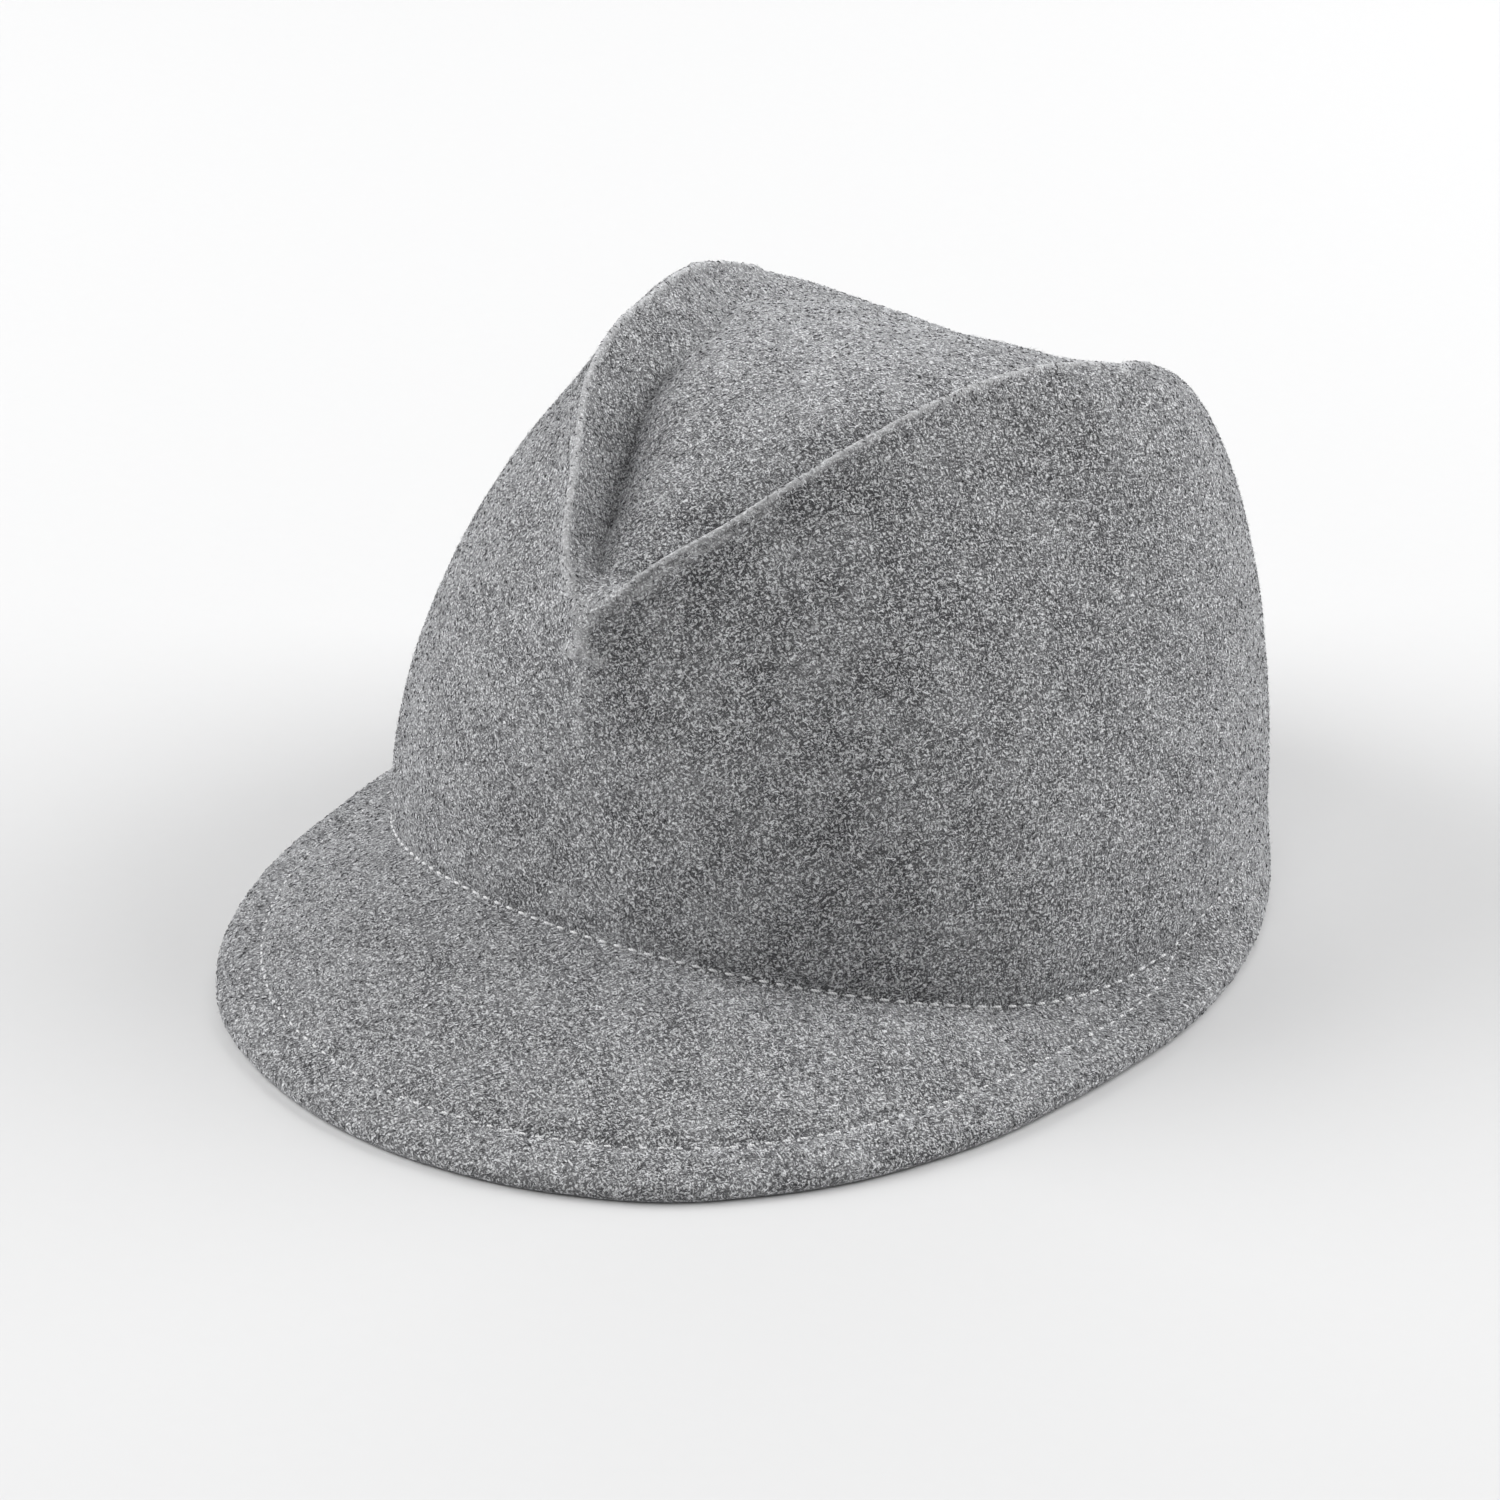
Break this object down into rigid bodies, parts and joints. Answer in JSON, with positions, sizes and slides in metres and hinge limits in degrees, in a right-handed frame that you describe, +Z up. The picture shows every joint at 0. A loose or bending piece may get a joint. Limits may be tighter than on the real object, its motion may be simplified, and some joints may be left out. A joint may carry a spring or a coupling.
{
  "type": "felt cap with a peak",
  "caption": "Soft felt cap to wear on the head: a tall crown blocked into a teardrop ridge round a raised middle, and a short sloping peak over the eyes.",
  "frame": {"origin": "on the surface the cap stands on, under the middle of the whole cap from side to side and from front to back", "axes": "+Z up out of the crown; -Y to the front, where the peak is; +X to the wearer's left"},
  "size_m": [0.201, 0.252, 0.12],
  "materials": {
    "wool_felt": "matt grey melange wool felt with light and dark fibres and a short fuzz"
  },
  "bodies": {
    "root": {"felt_body": "wool_felt"}
  },
  "joints": []
}
